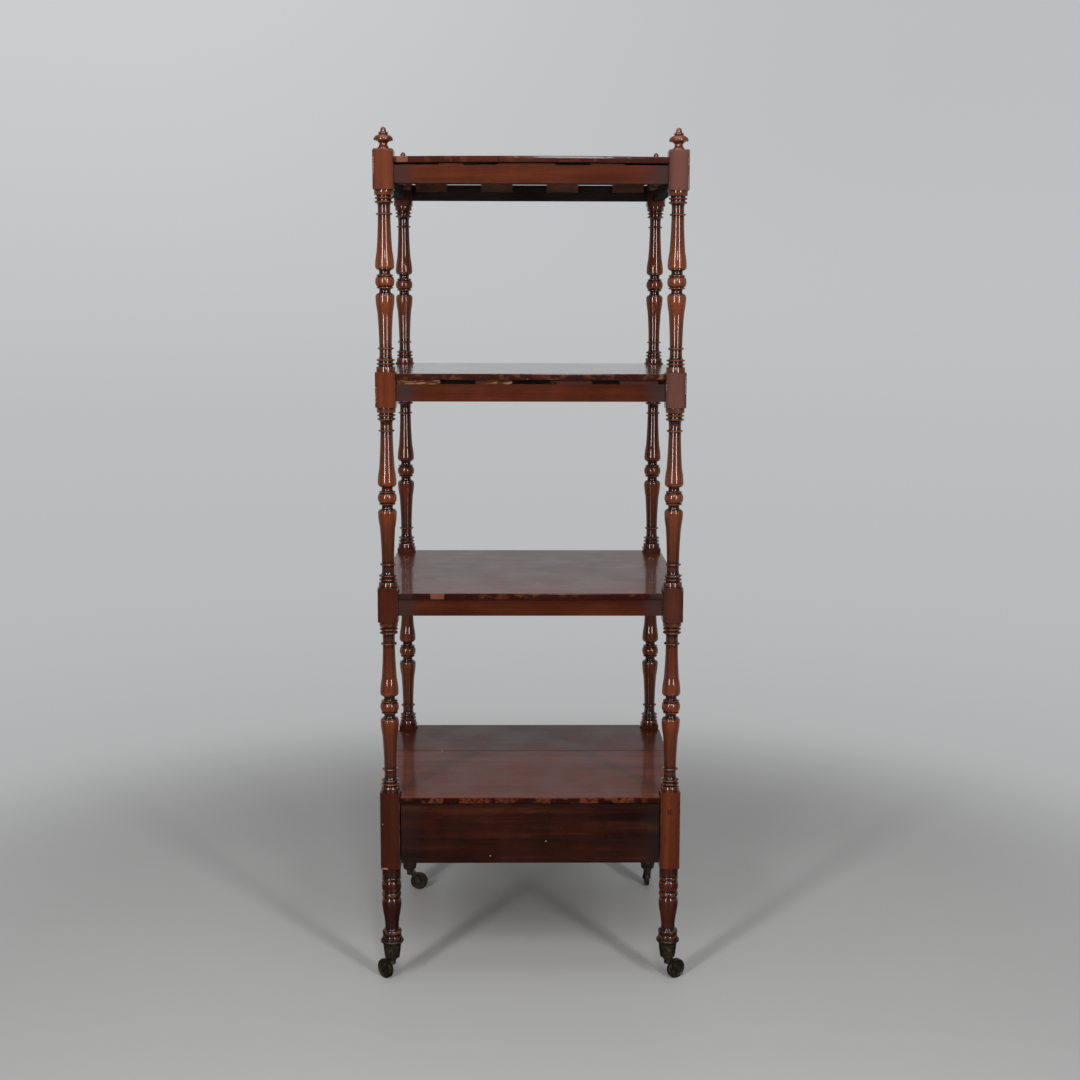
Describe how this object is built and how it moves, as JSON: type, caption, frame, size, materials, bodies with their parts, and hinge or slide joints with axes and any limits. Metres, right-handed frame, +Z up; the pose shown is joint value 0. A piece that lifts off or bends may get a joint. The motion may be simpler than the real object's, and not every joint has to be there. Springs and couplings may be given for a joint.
{
  "type": "four-tier etagere on castors",
  "caption": "Turned-post wooden whatnot with open shelves, a shallow drawer under the lowest shelf, mushroom finials and brass cup castors.",
  "frame": {"origin": "on the floor under the centre of the four posts", "axes": "+Z up along the posts, -Y the front (the drawer opens that way), +X to the right seen from the front"},
  "size_m": [0.5257, 0.4943, 1.4177],
  "materials": {
    "turned_wood": "French-polished dark hardwood, worn lighter on arrises and beads",
    "board_wood": "French-polished dark hardwood, glossy tops",
    "rail_wood": "French-polished dark hardwood",
    "plain_wood": "unpolished softwood",
    "drawer_lining": "unpolished hardwood",
    "castor_brass": "dark patinated brass",
    "wheel_brass": "dark patinated brass, worn tread",
    "pin_brass": "patinated brass"
  },
  "bodies": {
    "frame": {"post_front_left": "turned_wood", "post_front_right": "turned_wood", "post_back_left": "turned_wood", "post_back_right": "turned_wood", "finial_front_left": "turned_wood", "finial_front_right": "turned_wood", "finial_back_left": "turned_wood", "finial_back_right": "turned_wood", "top_board": "board_wood", "upper_board": "board_wood", "middle_board": "board_wood", "lower_board_front": "board_wood", "lower_board_back": "board_wood", "top_rail_front": "rail_wood", "top_rail_back": "rail_wood", "top_rail_left": "rail_wood", "top_rail_right": "rail_wood", "top_glue_blocks": "plain_wood", "upper_rail_front": "rail_wood", "upper_rail_back": "rail_wood", "upper_rail_left": "rail_wood", "upper_rail_right": "rail_wood", "upper_glue_blocks": "plain_wood", "middle_rail_front": "rail_wood", "middle_rail_back": "rail_wood", "middle_rail_left": "rail_wood", "middle_rail_right": "rail_wood", "middle_glue_blocks": "plain_wood", "top_packing": "rail_wood", "upper_packing": "rail_wood", "case_back": "rail_wood", "case_side_left": "rail_wood", "case_side_right": "rail_wood", "drawer_rail": "rail_wood", "drawer_runner_left": "plain_wood", "drawer_runner_right": "plain_wood", "drawer_stops": "plain_wood", "castor_cup_front_left": "castor_brass", "castor_cup_front_right": "castor_brass", "castor_cup_back_left": "castor_brass", "castor_cup_back_right": "castor_brass", "castor_king_pins": "pin_brass"},
    "drawer": {"drawer_front": "rail_wood", "drawer_side_left": "drawer_lining", "drawer_side_right": "drawer_lining", "drawer_back": "drawer_lining", "drawer_bottom": "drawer_lining"},
    "horn_front_left": {"castor_horn_front_left": "castor_brass", "castor_axle_front_left": "pin_brass"},
    "wheel_front_left": {"castor_wheel_front_left": "wheel_brass"},
    "horn_front_right": {"castor_horn_front_right": "castor_brass", "castor_axle_front_right": "pin_brass"},
    "wheel_front_right": {"castor_wheel_front_right": "wheel_brass"},
    "horn_back_left": {"castor_horn_back_left": "castor_brass", "castor_axle_back_left": "pin_brass"},
    "wheel_back_left": {"castor_wheel_back_left": "wheel_brass"},
    "horn_back_right": {"castor_horn_back_right": "castor_brass", "castor_axle_back_right": "pin_brass"},
    "wheel_back_right": {"castor_wheel_back_right": "wheel_brass"}
  },
  "joints": [
    {"name": "drawer_slide", "type": "slide", "parent": "frame", "child": "drawer", "axis": [0, -1, 0], "range_m": [0, 0.3]},
    {"name": "swivel_front_left", "type": "hinge", "parent": "frame", "child": "horn_front_left", "pos_m": [-0.234, -0.22, 0.04], "axis": [0, 0, 1], "continuous": true},
    {"name": "roll_front_left", "type": "hinge", "parent": "horn_front_left", "child": "wheel_front_left", "pos_m": [-0.24694, -0.20706, 0.0165], "axis": [-0.7071, -0.7071, 0], "continuous": true},
    {"name": "swivel_front_right", "type": "hinge", "parent": "frame", "child": "horn_front_right", "pos_m": [0.234, -0.22, 0.04], "axis": [0, 0, 1], "continuous": true},
    {"name": "roll_front_right", "type": "hinge", "parent": "horn_front_right", "child": "wheel_front_right", "pos_m": [0.24935, -0.21003, 0.0165], "axis": [-0.5446, 0.8387, 0], "continuous": true},
    {"name": "swivel_back_left", "type": "hinge", "parent": "frame", "child": "horn_back_left", "pos_m": [-0.234, 0.22, 0.04], "axis": [0, 0, 1], "continuous": true},
    {"name": "roll_back_left", "type": "hinge", "parent": "horn_back_left", "child": "wheel_back_left", "pos_m": [-0.2157, 0.22, 0.0165], "axis": [0, 1, 0], "continuous": true},
    {"name": "swivel_back_right", "type": "hinge", "parent": "frame", "child": "horn_back_right", "pos_m": [0.234, 0.22, 0.04], "axis": [0, 0, 1], "continuous": true},
    {"name": "roll_back_right", "type": "hinge", "parent": "horn_back_right", "child": "wheel_back_right", "pos_m": [0.234, 0.2383, 0.0165], "axis": [-1, 0, 0], "continuous": true}
  ]
}
